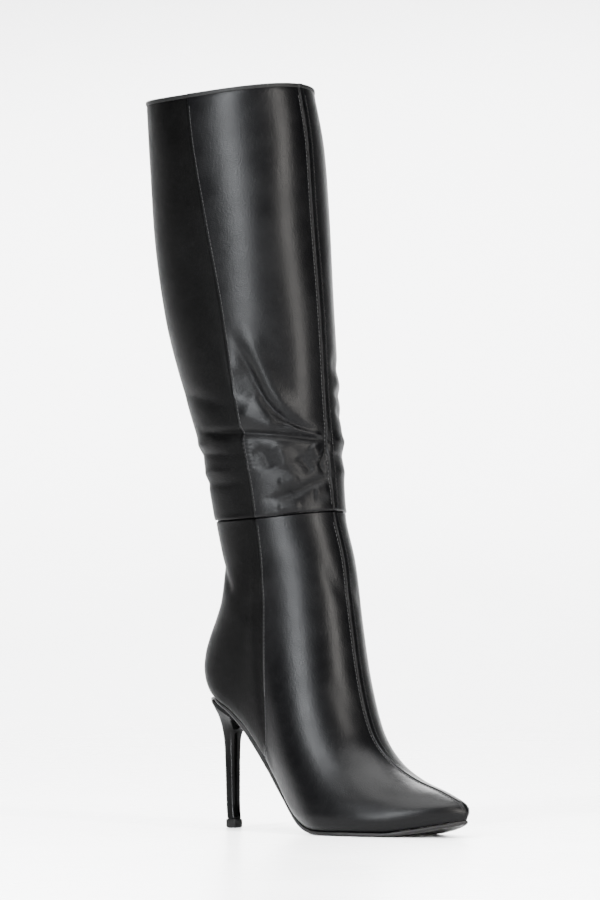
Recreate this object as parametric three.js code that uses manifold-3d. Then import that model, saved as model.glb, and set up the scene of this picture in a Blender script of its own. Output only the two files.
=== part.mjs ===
// Knee-high boot for the right foot, on a slim high heel, in millimetres with +Z up and the toe along +X.
// The outer (lateral) side faces -Y and the inner (medial) side, with the zip, faces +Y.
import * as THREE from 'three';
import { mergeVertices } from 'three/addons/utils/BufferGeometryUtils.js';
import Module from 'manifold-3d';

const wasm = await Module();
wasm.setup();

// Driving sizes
const LEATHER = 1.6; // wall of the foot part, outer face to lining
const PANEL_STEP = 0.7; // how far a lapped panel stands over its neighbour
const SHAFT_STEP = 0.8; // how far the shaft's hem stands over the foot part
const SHAFT_LINING = -0.9; // inner face of the shaft, from the boot's skin
const FRONT_SEAM_WIDTH = 4.2; // raised seam down the front
const FRONT_SEAM_RISE = 0.7;
const SEAM_EDGE = 0.45; // width of the turned edge of a lapped panel
const LAP = 0.03; // share of the shaft that the foot part reaches up inside it
const GAP = 0.3; // clearance where two curved pieces meet
const FEATHER_GAP = 0.55; // between the upper's lower edge and the outsole, over the whole curve
const SOLE_LIP = 0.7; // outsole edge outside the upper's lower edge
const SOLE_BEVEL = 1.1;
const INSOLE_THICK = 2.2;
const INSOLE_INSET = 1; // inside the upper's lining
const TOP_LIFT_TALL = 6.4;
const TOP_LIFT_X = -0.7;
const BINDING_TALL = 2.4;
const ZIP_SLOT = 9; // between the two leather edges
const ZIP_CHAIN = 6;
const ZIP_TAPE = 26;
const ZIP_FROM = 0.1; // levels of the closed chain
const ZIP_TO = 1.575;
const SLIDER = { wide: 7.6, tall: 11, thick: 1.8 };
const ARCH = { reach: 3.4, rise: 3.2, wide: 2.2, wall: 0.9 }; // on the slider, for the pull
const PULL_BAR = { up: 0.6, off: 1.1 }; // swinging line, from the slider's middle and outer face
const SLIDER_LEVEL = 1.555;
const TAPE_THICK = 0.8;
const PULL = { wide: 6, long: 25, thick: 1.2, bar: 1.2, eyeWide: 3.4, eyeLong: 5.2 };

// Rings of the boot's skin, from the edge that meets the sole (level 0), by the lap of the shaft
// (level 1), up to the collar (level 2). A ring runs from its back point to its front point.
// heelAt and ballAt are the X of its widest places, with the waist halfway between them. Widths are
// half widths from the boot's axis, out for the lateral side and in for the medial one. point shapes
// the front end (0.5 is round), sag is how much of the sole's curve the ring keeps, dip lowers the
// sides, and lean moves the ring sideways.
const RINGS = table(
  'level backX backZ frontX frontZ heelAt ballAt heel waistOut waistIn ballOut ballIn point sag dip lean',
  [
    [0.00, -10.5, 94.5, 207.5, 12.3, 14, 116, 25.0, 26.5, 20.5, 41.5, 38.0, 0.78, 1.00, 0, 0.0],
    [0.04, -13.5, 97.5, 208.5, 16.5, 14, 115, 27.3, 29.3, 24.0, 43.8, 40.6, 0.70, 1.00, 0, 0.0],
    [0.10, -16.5, 102.0, 205.0, 21.5, 15, 113, 28.8, 31.3, 27.5, 44.8, 41.8, 0.62, 0.97, 0, 0.0],
    [0.18, -19.0, 108.0, 190.0, 28.5, 17, 109, 30.0, 32.8, 30.2, 44.2, 41.6, 0.58, 0.90, 0, 0.0],
    [0.28, -20.3, 116.0, 165.0, 37.0, 20, 101, 30.8, 33.8, 32.0, 42.6, 40.4, 0.55, 0.76, 0, 0.0],
    [0.38, -19.3, 124.0, 143.5, 48.5, 24, 90, 31.6, 34.6, 33.4, 40.8, 39.2, 0.53, 0.58, 0, 0.0],
    [0.50, -15.0, 135.5, 127.0, 66.0, 29, 79, 32.6, 35.4, 34.6, 39.0, 38.0, 0.51, 0.38, 0, 0.0],
    [0.62, -8.5, 147.5, 115.5, 99.0, 35, 67, 33.8, 36.0, 35.8, 37.6, 37.2, 0.50, 0.20, 0, 0.0],
    [0.75, -2.0, 161.0, 107.5, 142.0, 41, 58, 35.4, 36.4, 36.4, 36.8, 36.8, 0.50, 0.08, 0, 0.0],
    [0.87, 0.8, 180.0, 101.5, 184.0, 46, 53, 36.4, 36.7, 36.7, 36.8, 36.8, 0.50, 0.02, 0, -0.5],
    [1.00, -5.0, 214.0, 93.5, 219.5, 44, 44.5, 37.6, 37.6, 37.6, 37.6, 37.6, 0.50, 0, 2.5, -2.3],
    [1.12, -12.5, 252.0, 91.0, 256.0, 39, 39.5, 39.7, 39.7, 39.7, 39.7, 39.7, 0.50, 0, 2.0, -4.4],
    [1.28, -26.5, 297.0, 88.5, 300.0, 31, 31.5, 44.0, 44.0, 44.0, 44.0, 44.0, 0.50, 0, 1.0, -7.0],
    [1.48, -41.5, 358.0, 86.5, 360.0, 22.5, 23, 49.0, 49.0, 49.0, 49.0, 49.0, 0.50, 0, 0.5, -10.5],
    [1.70, -49.5, 424.0, 84.0, 425.0, 17, 17.5, 51.0, 51.0, 51.0, 51.0, 51.5, 0.50, 0, 1.0, -14.2],
    [1.86, -51.0, 467.0, 82.0, 469.0, 15.5, 16, 50.8, 50.8, 50.8, 50.8, 50.8, 0.50, 0, 2.0, -16.6],
    [2.00, -52.0, 507.0, 75.5, 511.5, 11.5, 12, 48.6, 48.6, 48.6, 48.6, 48.0, 0.50, 0, 4.5, -19.0],
  ],
);

// Underside of the outsole along the boot, and how thick the sole is square to its own slope.
const SOLE = table('x bottom thick', [
  [-14, 93.2, 2.2],
  [10, 84.0, 2.4],
  [28, 70.5, 3.2],
  [41, 56.5, 4.0],
  [54, 40.8, 4.2],
  [65, 25.8, 4.0],
  [75, 13.6, 3.6],
  [86, 5.4, 3.2],
  [98, 1.5, 2.9],
  [110, 0, 2.8],
  [158, 0, 2.8],
  [176, 2.4, 2.7],
  [194, 6.0, 2.5],
  [210, 9.9, 2.4],
]);

// Sections of the heel from the top lift up to the seat, where the last one follows the sole.
const HEEL = table('level backX backZ frontX frontZ half square', [
  [0, -5.3, 6.4, 3.9, 6.4, 4.3, 2.5],
  [1, -6.2, 17, 3.1, 17, 4.4, 2.4],
  [2, -7.0, 40, 3.0, 40, 4.8, 2.3],
  [3, -7.8, 58, 3.3, 58, 5.4, 2.2],
  [4, -9.0, 68, 4.6, 66.5, 6.8, 2.2],
  [5, -9.7, 74.5, 8.4, 69.5, 9.6, 2.2],
  [6, -10.3, 80.5, 14.5, 71.0, 13.8, 2.2],
  [7, -10.8, 86.0, 21.5, 71.4, 18.4, 2.4],
  [8, -11.2, 91.4, 28.0, 70.5, 22.2, 2.8],
]);

// Lines that run up the sides: the lap of the front panel, and the middle of the zip.
const SIDE_LINES = table('level seamX zipX', [
  [0.00, 53.0, 56.0],
  [0.28, 58.5, 60.5],
  [0.50, 60.0, 63.5],
  [0.75, 58.5, 64.0],
  [0.87, 57.0, 61.0],
  [1.00, 54.0, 56.5],
  [1.28, 44.5, 49.0],
  [1.48, 39.0, 46.5],
  [1.70, 29.0, 47.0],
  [2.00, 16.5, 46.0],
]);

// Depth of the zip's tape behind the skin: deeper where it passes the doubled lap.
const TAPE_DEPTH = table('level depth', [
  [0.00, 2.0],
  [0.90, 2.0],
  [0.97, 3.2],
  [1.05, 3.2],
  [1.12, 1.3],
  [2.00, 1.3],
]);

const FOOT_LEVELS = [
  ...levels(0, 0.1, 4),
  ...levels(0.1, 0.5, 8),
  ...levels(0.5, 0.985, 5),
];
const SHAFT_LEVELS = [1.002, ...levels(1.02, 2, 11)];

const leather = {
  front: finish(0x1d1d1f, 0.36, 0),
  back: finish(0x151516, 0.5, 0),
  edge: finish(0x0c0c0c, 0.42, 0),
  sole: finish(0x101010, 0.45, 0),
  insole: finish(0x2a2725, 0.7, 0),
  heel: finish(0x0b0b0b, 0.12, 0),
  lift: finish(0x161616, 0.6, 0),
  tape: finish(0x121212, 0.85, 0),
  metal: finish(0x2b2b2e, 0.3, 0.8),
};

// Rows of numbers with their column names, read by name with a smooth curve that never overshoots.
function table(names, rows) {
  const at = rows.map((row) => row[0]);
  const curves = {};
  names.split(' ').forEach((name, place) => {
    const value = rows.map((row) => row[place]);
    const slope = at.slice(1).map((end, i) => (value[i + 1] - value[i]) / (end - at[i]));
    const tangent = at.map((end, i) => {
      const before = slope[Math.max(i - 1, 0)];
      const after = slope[Math.min(i, slope.length - 1)];
      return before * after <= 0 ? 0 : (2 * before * after) / (before + after);
    });
    curves[name] = (x) => {
      const i = Math.min(Math.max(at.findLastIndex((end) => end <= x), 0), at.length - 2);
      const span = at[i + 1] - at[i];
      const t = (x - at[i]) / span;
      const bend = t * t * (3 - 2 * t);
      const pull = t * (1 - t) * ((1 - t) * tangent[i] - t * tangent[i + 1]);
      return value[i] + (value[i + 1] - value[i]) * bend + pull * span;
    };
  });
  return curves;
}

function levels(from, to, count) {
  return Array.from({ length: count }, (_, i) => from + ((to - from) * i) / count);
}

function finish(color, roughness, metalness) {
  return new THREE.MeshStandardMaterial({ color, roughness, metalness });
}

function soleSlope(x) {
  return (SOLE.bottom(x + 4) - SOLE.bottom(x - 4)) / 8;
}

// Height of the edge that the upper stands on, straight above the outsole.
function featherZ(x) {
  return SOLE.bottom(x) + SOLE.thick(x) * Math.hypot(1, soleSlope(x)) + FEATHER_GAP;
}

// Half width of a ring on one side, at the share of the way from its back to its front.
function halfWidth(level, share, inner) {
  const back = RINGS.backX(level);
  const long = RINGS.frontX(level) - back;
  const heelAt = (RINGS.heelAt(level) - back) / long;
  const ballAt = (RINGS.ballAt(level) - back) / long;
  const waistAt = (heelAt + ballAt) / 2;
  const heel = RINGS.heel(level);
  const waist = inner ? RINGS.waistIn(level) : RINGS.waistOut(level);
  const ball = inner ? RINGS.ballIn(level) : RINGS.ballOut(level);
  if (share < heelAt) {
    return heel * Math.sqrt(Math.max(1 - (1 - share / heelAt) ** 2, 0));
  }
  if (share > ballAt) {
    const power = 2 - 1.5 * (RINGS.point(level) - 0.5);
    const ahead = (share - ballAt) / (1 - ballAt);
    return ball * Math.max(1 - ahead ** power, 0) ** RINGS.point(level);
  }
  const ease = (from, to, t) => from + (to - from) * t * t * (3 - 2 * t);
  if (share < waistAt) {
    return ease(heel, waist, (share - heelAt) / (waistAt - heelAt));
  }
  return ease(waist, ball, (share - waistAt) / (ballAt - waistAt));
}

// X on the sole that a share of a ring stands over: heel and ball places match, and so do the ends.
function soleX(level, share) {
  const back = RINGS.backX(level);
  const long = RINGS.frontX(level) - back;
  const places = [0, (RINGS.heelAt(level) - back) / long, (RINGS.ballAt(level) - back) / long, 1];
  const under = [RINGS.backX(0), RINGS.heelAt(0), RINGS.ballAt(0), RINGS.frontX(0)];
  const i = share < places[1] ? 0 : share < places[2] ? 1 : 2;
  const t = (share - places[i]) / (places[i + 1] - places[i]);
  return under[i] + (under[i + 1] - under[i]) * t;
}

// Point of the skin at a turn of 0 at the back, by the outer side, to PI at the front and on round.
function skin(level, turn) {
  const share = (1 - Math.cos(turn)) / 2;
  const side = Math.sin(turn);
  const back = RINGS.backX(level);
  const long = RINGS.frontX(level) - back;
  const rise = RINGS.frontZ(level) - RINGS.backZ(level);
  const under = soleX(level, share);
  const first = RINGS.backX(0);
  const last = RINGS.frontX(0);
  const chord = THREE.MathUtils.mapLinear(under, first, last, featherZ(first), featherZ(last));
  const curve = (featherZ(under) - chord) * RINGS.sag(level);
  const drop = RINGS.dip(level) * side * side;
  const width = halfWidth(level, share, side < 0) * (side < 0 ? 1 : -1);
  const z = level === 0 ? featherZ(under) : RINGS.backZ(level) + rise * share + curve - drop;
  return new THREE.Vector3(back + long * share, width + RINGS.lean(level), z);
}

function outward(level, turn) {
  const step = 0.012;
  const low = Math.max(level - step, 0.001);
  const around = skin(level || 0.001, turn + step).sub(skin(level || 0.001, turn - step));
  const up = skin(Math.min(level + step, 2), turn).sub(skin(low, turn));
  return around.cross(up).normalize();
}

// Skin point moved out by an offset. At the lower edge it moves level, so that the edge stays flat.
function skinOff(level, turn, offset) {
  const point = skin(level, turn);
  const out = outward(level, turn);
  if (level > 0) {
    return point.addScaledVector(out, offset);
  }
  const flat = new THREE.Vector3(out.x, out.y, 0).normalize();
  point.addScaledVector(flat, offset);
  point.z = featherZ(point.x);
  return point;
}

function turnAtX(level, x) {
  const back = RINGS.backX(level);
  const share = (x - back) / (RINGS.frontX(level) - back);
  return Math.acos(1 - 2 * Math.min(Math.max(share, 0), 1));
}

// Turn at which the outer side of a ring is this far from the axis, near the front.
function turnAtHalf(level, half) {
  let wide = turnAtX(level, RINGS.ballAt(level));
  let narrow = Math.PI;
  for (let i = 0; i < 24; i += 1) {
    const middle = (wide + narrow) / 2;
    if (halfWidth(level, (1 - Math.cos(middle)) / 2, false) > half) {
      wide = middle;
    } else {
      narrow = middle;
    }
  }
  return wide;
}

// How far one millimetre around a ring turns it.
function turnPerMm(level, turn) {
  return 0.02 / skin(level, turn + 0.01).distanceTo(skin(level, turn - 0.01));
}

// Turns between two ends, spaced half by turn and half by the way around, so that neither the tight
// toe nor the long sides get too few.
function evenTurns(level, from, to, count) {
  const parts = 160;
  const turns = Array.from({ length: parts + 1 }, (_, i) => from + ((to - from) * i) / parts);
  const way = [0];
  turns.slice(1).forEach((turn, i) => {
    way.push(way[i] + skin(level, turn).distanceTo(skin(level, turns[i])));
  });
  const measure = way.map((done, i) => (done / way[parts] + i / parts) / 2);
  return Array.from({ length: count }, (_, i) => {
    const wanted = i / (count - 1);
    const k = Math.min(Math.max(measure.findLastIndex((m) => m <= wanted), 0), parts - 1);
    const t = (wanted - measure[k]) / (measure[k + 1] - measure[k]);
    return turns[k] + (turns[k + 1] - turns[k]) * Math.min(t, 1);
  });
}

// Turns of a ring's columns with the offset of each: the panels step at the side seam, along the
// raised front seam and at the zip's middle line.
function panelColumns(level, base) {
  const fade = THREE.MathUtils.smoothstep(level, 0.02, 0.12);
  const seam = turnAtX(level, SIDE_LINES.seamX(level));
  const zip = 2 * Math.PI - turnAtX(level, SIDE_LINES.zipX(level));
  const stripOut = turnAtHalf(level, FRONT_SEAM_WIDTH / 2);
  const stripIn = 2 * Math.PI - stripOut;
  const edge = (turn) => SEAM_EDGE * turnPerMm(level, turn);
  const front = base + PANEL_STEP * fade;
  const strip = front + FRONT_SEAM_RISE * fade;
  const stretch = (from, to, count, offset) =>
    evenTurns(level, from, to, count).map((turn) => [turn, offset]);
  const stripEdge = Math.min(edge(stripOut), (Math.PI - stripOut) * 0.35);
  return [
    ...stretch(0, seam, 13, base),
    ...stretch(seam + edge(seam), stripOut, 15, front),
    ...stretch(stripOut + stripEdge, stripIn - stripEdge, 3, strip),
    ...stretch(stripIn, zip - edge(zip), 13, front),
    ...stretch(zip, 2 * Math.PI, 13, base).slice(0, -1),
  ];
}

// Closed solid between an outer and an inner sheet of points, given as rows that run up.
function solidBetween(outer, inner, ring) {
  const rows = outer.length;
  const columns = outer[0].length;
  const points = [...outer.flat(), ...inner.flat()];
  const at = (sheet, i, j) => sheet * rows * columns + i * columns + (j % columns);
  const faces = [];
  const quad = (a, b, c, d) => faces.push(a, b, c, a, c, d);
  const around = ring ? columns : columns - 1;
  for (let j = 0; j < around; j += 1) {
    for (let i = 0; i < rows - 1; i += 1) {
      quad(at(0, i, j), at(0, i, j + 1), at(0, i + 1, j + 1), at(0, i + 1, j));
      quad(at(1, i, j), at(1, i + 1, j), at(1, i + 1, j + 1), at(1, i, j + 1));
    }
    quad(at(1, 0, j), at(1, 0, j + 1), at(0, 0, j + 1), at(0, 0, j));
    quad(at(0, rows - 1, j), at(0, rows - 1, j + 1), at(1, rows - 1, j + 1), at(1, rows - 1, j));
  }
  if (!ring) {
    const last = columns - 1;
    for (let i = 0; i < rows - 1; i += 1) {
      quad(at(1, i, 0), at(0, i, 0), at(0, i + 1, 0), at(1, i + 1, 0));
      quad(at(0, i, last), at(1, i, last), at(1, i + 1, last), at(0, i + 1, last));
    }
  }
  return closedMesh(points, faces);
}

// Closed solid through loops of points from the lowest up. Each loop has the same even number of
// points, from the back by the outer side to the front and on, so that its caps are strips across.
function solidThrough(loops) {
  const count = loops[0].length;
  const half = count / 2;
  const faces = [];
  for (let i = 0; i < loops.length - 1; i += 1) {
    for (let j = 0; j < count; j += 1) {
      const next = (j + 1) % count;
      const low = i * count;
      const high = low + count;
      faces.push(low + j, low + next, high + next, low + j, high + next, high + j);
    }
  }
  const top = (loops.length - 1) * count;
  for (let j = 0; j < half; j += 1) {
    const outer = [j, j + 1];
    const inner = [(count - j) % count, count - j - 1];
    if (j < half - 1) {
      faces.push(outer[0], inner[1], outer[1]);
      faces.push(top + outer[0], top + outer[1], top + inner[1]);
    }
    if (j > 0) {
      faces.push(outer[0], inner[0], inner[1]);
      faces.push(top + outer[0], top + inner[1], top + inner[0]);
    }
  }
  return closedMesh(loops.flat(), faces);
}

function closedMesh(points, faces) {
  const geometry = new THREE.BufferGeometry();
  const numbers = points.flatMap((point) => [point.x, point.y, point.z]);
  geometry.setAttribute('position', new THREE.Float32BufferAttribute(numbers, 3));
  geometry.setIndex(faces);
  return geometry;
}

function toManifold(geometry) {
  const bare = geometry.clone();
  bare.deleteAttribute('normal');
  bare.deleteAttribute('uv');
  const merged = mergeVertices(bare, 1e-4);
  const solid = new wasm.Mesh({
    numProp: 3,
    vertProperties: Float32Array.from(merged.attributes.position.array),
    triVerts: Uint32Array.from(merged.index.array),
  });
  return new wasm.Manifold(solid);
}

function fromManifold(solid) {
  const mesh = solid.getMesh();
  const geometry = new THREE.BufferGeometry();
  geometry.setAttribute('position', new THREE.BufferAttribute(mesh.vertProperties, 3));
  geometry.setIndex(new THREE.BufferAttribute(mesh.triVerts, 1));
  return geometry;
}

// Patch of the skin around the zip's middle line, between two offsets.
function alongZip(from, to, steps, leftMm, rightMm, across, outside, inside) {
  const outer = [];
  const inner = [];
  for (let i = 0; i <= steps; i += 1) {
    const level = from + ((to - from) * i) / steps;
    const middle = 2 * Math.PI - turnAtX(level, SIDE_LINES.zipX(level));
    const turn = turnPerMm(level, middle);
    const turns = levels(0, 1, across).concat(1);
    const spread = turns.map((share) => middle + (leftMm + (rightMm - leftMm) * share) * turn);
    outer.push(spread.map((place) => skinOff(level, place, outside(level))));
    inner.push(spread.map((place) => skinOff(level, place, inside(level))));
  }
  return solidBetween(outer, inner, false);
}

// Foot part: vamp and counter closed over the last, with its top edge set in under the shaft.
function footWall() {
  const outer = [];
  const inner = [];
  const addRing = (level, base, lining) => {
    const columns = panelColumns(level, 0);
    outer.push(columns.map(([turn, offset]) => skinOff(level, turn, base ?? offset)));
    inner.push(columns.map(([turn]) => skinOff(level, turn, lining)));
  };
  FOOT_LEVELS.forEach((level) => addRing(level, null, -LEATHER));
  const tucked = SHAFT_LINING - GAP;
  addRing(0.998, null, -LEATHER);
  addRing(1.0, tucked, tucked - LEATHER);
  addRing(1.0 + LAP, tucked, tucked - LEATHER);
  return solidBetween(outer, inner, true);
}

function shaftWall() {
  const outer = [];
  const inner = [];
  [...SHAFT_LEVELS, 2].forEach((level) => {
    const columns = panelColumns(level, SHAFT_STEP);
    outer.push(columns.map(([turn, offset]) => skinOff(level, turn, offset)));
    inner.push(columns.map(([turn]) => skinOff(level, turn, SHAFT_LINING)));
  });
  return solidBetween(outer, inner, true);
}

function zipOpening() {
  const half = ZIP_SLOT / 2;
  return alongZip(ZIP_FROM, ZIP_TO, 46, -half, half, 1, () => 6, () => -7);
}

// Folded tape over the collar's edge.
function collarBinding() {
  const place = (turn, offset, up) => skinOff(2, turn, offset).add(new THREE.Vector3(0, 0, up));
  const turns = levels(0, 2 * Math.PI, 44);
  const round = (offset, up) => turns.map((turn) => place(turn, offset, up));
  const outside = SHAFT_STEP + PANEL_STEP + FRONT_SEAM_RISE;
  const outer = [round(outside - 0.6, GAP), round(outside, GAP + 0.7)];
  const inner = [round(SHAFT_LINING, GAP), round(SHAFT_LINING - 0.6, GAP + 0.7)];
  outer.push(round(outside, GAP + BINDING_TALL - 0.7), round(outside - 0.6, GAP + BINDING_TALL));
  inner.push(round(SHAFT_LINING - 0.6, GAP + BINDING_TALL - 0.7));
  inner.push(round(SHAFT_LINING, GAP + BINDING_TALL));
  return solidBetween(outer, inner, true);
}

// Loop that follows the upper's lower edge, moved out by an offset, at a height worked out from x.
function soleLoop(offset, height) {
  const outer = evenTurns(0, 0, Math.PI, 45);
  const inner = outer.slice(1, -1).reverse().map((turn) => 2 * Math.PI - turn);
  return [...outer, ...inner].map((turn) => {
    const point = skinOff(0, turn, offset);
    point.z = height(point.x);
    return point;
  });
}

function outsole() {
  return solidThrough([
    soleLoop(SOLE_LIP - SOLE_BEVEL, (x) => SOLE.bottom(x)),
    soleLoop(SOLE_LIP, (x) => SOLE.bottom(x) + (featherZ(x) - SOLE.bottom(x)) * 0.4),
    soleLoop(SOLE_LIP, (x) => featherZ(x) - FEATHER_GAP),
  ]);
}

function insole() {
  const inset = -LEATHER - INSOLE_INSET;
  const tall = (x) => featherZ(x) + INSOLE_THICK * Math.hypot(1, soleSlope(x));
  return solidThrough([soleLoop(inset, featherZ), soleLoop(inset, tall)]);
}

// Slim covered heel: the last section lies under the outsole's seat.
function heel() {
  const round = levels(0, 2 * Math.PI, 24);
  const sections = [0, 1, 2, 3, 3.5, 4, 4.5, 5, 5.5, 6, 6.5, 7, 7.5, 8];
  return solidThrough(sections.map((level) => {
    const back = HEEL.backX(level);
    const front = HEEL.frontX(level);
    return round.map((turn) => {
      const corner = 2 / HEEL.square(level);
      const along = -Math.sign(Math.cos(turn)) * Math.abs(Math.cos(turn)) ** corner;
      const across = -Math.sign(Math.sin(turn)) * Math.abs(Math.sin(turn)) ** corner;
      const share = (1 + along) / 2;
      const x = back + (front - back) * share;
      const flat = HEEL.backZ(level) + (HEEL.frontZ(level) - HEEL.backZ(level)) * share;
      const seat = SOLE.bottom(x) - GAP;
      const z = level === 8 ? seat : Math.min(flat, seat - (8 - level) * 0.35);
      return new THREE.Vector3(x, across * HEEL.half(level), z);
    });
  }));
}

function topLift() {
  const half = { x: 4.6, y: 4.3, corner: 1.4 };
  const shape = new THREE.Shape();
  shape.moveTo(-half.x + half.corner, -half.y);
  shape.lineTo(half.x - half.corner, -half.y);
  shape.absarc(half.x - half.corner, -half.y + half.corner, half.corner, -Math.PI / 2, 0);
  shape.lineTo(half.x, half.y - half.corner);
  shape.absarc(half.x - half.corner, half.y - half.corner, half.corner, 0, Math.PI / 2);
  shape.lineTo(-half.x + half.corner, half.y);
  shape.absarc(-half.x + half.corner, half.y - half.corner, half.corner, Math.PI / 2, Math.PI);
  shape.lineTo(-half.x, -half.y + half.corner);
  shape.absarc(-half.x + half.corner, -half.y + half.corner, half.corner, Math.PI, 1.5 * Math.PI);
  const depth = TOP_LIFT_TALL;
  const lift = new THREE.ExtrudeGeometry(shape, { depth, bevelEnabled: false, curveSegments: 4 });
  return lift.translate(TOP_LIFT_X, 0, 0);
}

// Frame of the zip at a level: x towards the toe along the skin, y up, z outward.
function zipFrame(level, offset) {
  const middle = 2 * Math.PI - turnAtX(level, SIDE_LINES.zipX(level));
  const out = outward(level, middle);
  out.z = 0;
  out.normalize();
  const up = new THREE.Vector3(0, 0, 1);
  const along = new THREE.Vector3().crossVectors(up, out);
  const frame = new THREE.Matrix4().makeBasis(along, up, out);
  frame.setPosition(skinOff(level, middle, offset));
  return frame;
}

// Plate with round corners, lying in x and y and rising from z = 0.
function plate(width, tall, thick, corner) {
  const x = width / 2 - corner;
  const y = tall / 2 - corner;
  const shape = new THREE.Shape();
  shape.moveTo(-x, -y - corner);
  shape.absarc(x, -y, corner, -Math.PI / 2, 0);
  shape.absarc(x, y, corner, 0, Math.PI / 2);
  shape.absarc(-x, y, corner, Math.PI / 2, Math.PI);
  shape.absarc(-x, -y, corner, Math.PI, 1.5 * Math.PI);
  return new THREE.ExtrudeGeometry(shape, { depth: thick, bevelEnabled: false, curveSegments: 3 });
}

// Slider body with the low arch that the pull hangs from, open along x.
function zipSlider() {
  const arch = new THREE.Shape();
  arch.moveTo(-ARCH.reach, 0);
  arch.lineTo(ARCH.reach, 0);
  arch.lineTo(ARCH.reach, ARCH.rise - 1);
  arch.lineTo(ARCH.reach - 1, ARCH.rise);
  arch.lineTo(-ARCH.reach + 1, ARCH.rise);
  arch.lineTo(-ARCH.reach, ARCH.rise - 1);
  const eye = new THREE.Path();
  eye.moveTo(-ARCH.reach + ARCH.wall, 0.3);
  eye.lineTo(-ARCH.reach + ARCH.wall, ARCH.rise - ARCH.wall);
  eye.lineTo(ARCH.reach - ARCH.wall, ARCH.rise - ARCH.wall);
  eye.lineTo(ARCH.reach - ARCH.wall, 0.3);
  arch.holes.push(eye);
  const bow = new THREE.ExtrudeGeometry(arch, { depth: ARCH.wide, bevelEnabled: false });
  bow.translate(0, 0, -ARCH.wide / 2);
  bow.rotateY(Math.PI / 2);
  bow.rotateX(Math.PI / 2);
  bow.translate(0, 0, SLIDER.thick - 0.3);
  const body = plate(SLIDER.wide, SLIDER.tall, SLIDER.thick, 2);
  return fromManifold(toManifold(body).add(toManifold(bow)));
}

// Pull tab, with the eye at its top round the slider's arch and its bar on the line it swings about.
function zipPull() {
  const shape = new THREE.Shape();
  const half = PULL.wide / 2;
  shape.moveTo(-half, PULL.bar / 2);
  shape.lineTo(-half, -PULL.long + half);
  shape.absarc(0, -PULL.long + half, half, Math.PI, 2 * Math.PI);
  shape.lineTo(half, PULL.bar / 2);
  const eye = new THREE.Path();
  eye.moveTo(-PULL.eyeWide / 2, -PULL.bar / 2);
  eye.lineTo(PULL.eyeWide / 2, -PULL.bar / 2);
  eye.lineTo(PULL.eyeWide / 2, -PULL.eyeLong);
  eye.lineTo(-PULL.eyeWide / 2, -PULL.eyeLong);
  shape.holes.push(eye);
  const depth = PULL.thick;
  const tab = new THREE.ExtrudeGeometry(shape, { depth, bevelEnabled: false, curveSegments: 6 });
  tab.translate(0, 0, -PULL.thick / 2);
  return tab;
}

function mesh(name, geometry, material) {
  const piece = new THREE.Mesh(geometry, material);
  piece.name = name;
  return piece;
}

const slot = toManifold(zipOpening());
const upper = fromManifold(toManifold(footWall()).subtract(slot));
const shaft = fromManifold(toManifold(shaftWall()).subtract(slot));

const boot = new THREE.Group();
boot.add(mesh('outsole', outsole(), leather.sole));
boot.add(mesh('upper', upper, leather.front));
boot.add(mesh('insole', insole(), leather.insole));
boot.add(mesh('heel', heel(), leather.heel));
boot.add(mesh('top_lift', topLift(), leather.lift));
boot.add(mesh('shaft', shaft, leather.front));
boot.add(mesh('collar_binding', collarBinding(), leather.edge));

const tapeFrom = ZIP_FROM - 0.02;
const tapeTo = ZIP_TO + 0.02;
const tapeOut = (level) => -TAPE_DEPTH.depth(level);
const tapeIn = (level) => -TAPE_DEPTH.depth(level) - TAPE_THICK;
const tape = (left, right) => alongZip(tapeFrom, tapeTo, 26, left, right, 2, tapeOut, tapeIn);
boot.add(mesh('zip_tape_front', tape(-ZIP_TAPE / 2, -GAP / 2), leather.tape));
boot.add(mesh('zip_tape_back', tape(GAP / 2, ZIP_TAPE / 2), leather.tape));
const half = ZIP_CHAIN / 2;
const chainIn = (level) => GAP - TAPE_DEPTH.depth(level);
const chainOut = (level) => 1.9 - TAPE_DEPTH.depth(level);
const chain = alongZip(ZIP_FROM + 0.005, ZIP_TO - 0.005, 26, -half, half, 2, chainOut, chainIn);
boot.add(mesh('zip_chain', chain, leather.tape));

const sliderFrame = zipFrame(SLIDER_LEVEL, chainOut(SLIDER_LEVEL) + GAP);
const slider = new THREE.Group();
slider.applyMatrix4(sliderFrame);
slider.add(mesh('zip_slider', zipSlider(), leather.metal));
const pull = mesh('zip_pull', zipPull(), leather.metal);
pull.position.set(0, PULL_BAR.up, SLIDER.thick + PULL_BAR.off);
slider.add(pull);
boot.add(slider);

const box = new THREE.Box3().setFromObject(boot);
const centre = box.getCenter(new THREE.Vector3());
boot.position.set(-centre.x, -centre.y, 0);

const part = new THREE.Group();
part.add(boot);
export default part;
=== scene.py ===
import math

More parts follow.
